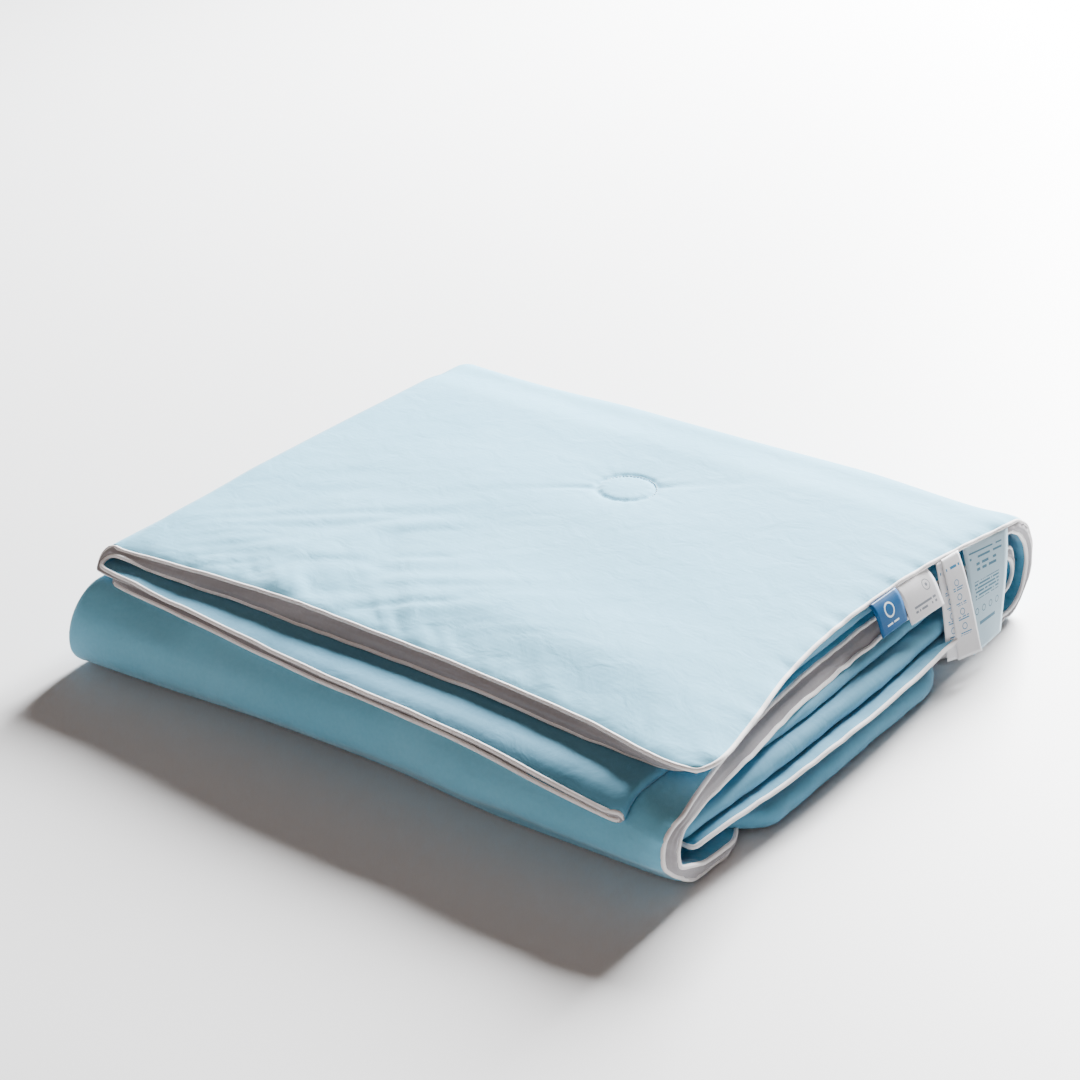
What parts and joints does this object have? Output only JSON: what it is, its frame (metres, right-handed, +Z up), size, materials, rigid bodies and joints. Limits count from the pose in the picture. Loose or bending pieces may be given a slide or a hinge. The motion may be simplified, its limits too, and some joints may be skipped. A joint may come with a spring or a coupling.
{
  "type": "folded quilt",
  "caption": "Light-blue summer quilt, folded flat in three and rolled into a thick stack, with a grey boxed edge band between white pipings and sewn-in labels at one side.",
  "frame": {"origin": "middle of the bottom of the folded quilt's bounding box, where it lies on a surface", "axes": "+X along the long front edge, from the Z fold towards the sewn side edge with the labels; +Y from the front fold towards the back fold; +Z up through the stack"},
  "size_m": [0.7189, 0.6058, 0.104],
  "materials": {
    "face_fabric": "satin",
    "back_fabric": "satin",
    "filling": "matte",
    "edge_band": "matte",
    "piping": "matte",
    "stitching": "matte",
    "tab_label": "satin",
    "white_label": "satin",
    "information_label": "satin"
  },
  "bodies": {
    "folded_roll": {"roll_face_panel": "face_fabric", "roll_filling": "filling", "roll_back_panel": "back_fabric", "roll_edge_band": "edge_band", "roll_face_piping": "piping", "roll_back_piping": "piping", "roll_tack_rings": "stitching", "back_fold_face_panel": "face_fabric", "back_fold_filling": "filling", "back_fold_back_panel": "back_fabric", "back_fold_edge_band": "edge_band", "back_fold_face_piping": "piping", "back_fold_back_piping": "piping"},
    "top_section": {"top_face_panel": "face_fabric", "top_filling": "filling", "top_back_panel": "back_fabric", "top_edge_band": "edge_band", "top_face_piping": "piping", "top_back_piping": "piping", "top_tack_rings": "stitching"},
    "woven_tab_label": {"woven_tab_label": "tab_label"},
    "loop_label": {"loop_label": "white_label"},
    "care_label": {"care_label_front": "white_label", "care_label_rear": "white_label"},
    "information_label": {"information_label": "information_label"}
  },
  "joints": [
    {"name": "top_section_opening", "type": "hinge", "parent": "folded_roll", "child": "top_section", "pos_m": [0, 0.25094, 0.07825], "axis": [-1, 0, 0], "range_deg": [0, 45], "deforming": ["back_fold_face_panel", "back_fold_filling", "back_fold_back_panel", "back_fold_edge_band", "back_fold_face_piping", "back_fold_back_piping"]},
    {"name": "woven_tab_label_seam", "type": "hinge", "parent": "top_section", "child": "woven_tab_label", "pos_m": [0.28876, 0.06994, 0.10012], "axis": [0, -1, 0], "range_deg": [0, 110]},
    {"name": "loop_label_seam", "type": "hinge", "parent": "top_section", "child": "loop_label", "pos_m": [0.30031, 0.11494, 0.10012], "axis": [0, -1, 0], "range_deg": [0, 110]},
    {"name": "care_label_seam", "type": "hinge", "parent": "top_section", "child": "care_label", "pos_m": [0.30704, 0.15694, 0.10012], "axis": [0, -1, 0], "range_deg": [0, 110]},
    {"name": "information_label_seam", "type": "hinge", "parent": "top_section", "child": "information_label", "pos_m": [0.31468, 0.21944, 0.10012], "axis": [0, -1, 0], "range_deg": [0, 110]}
  ]
}
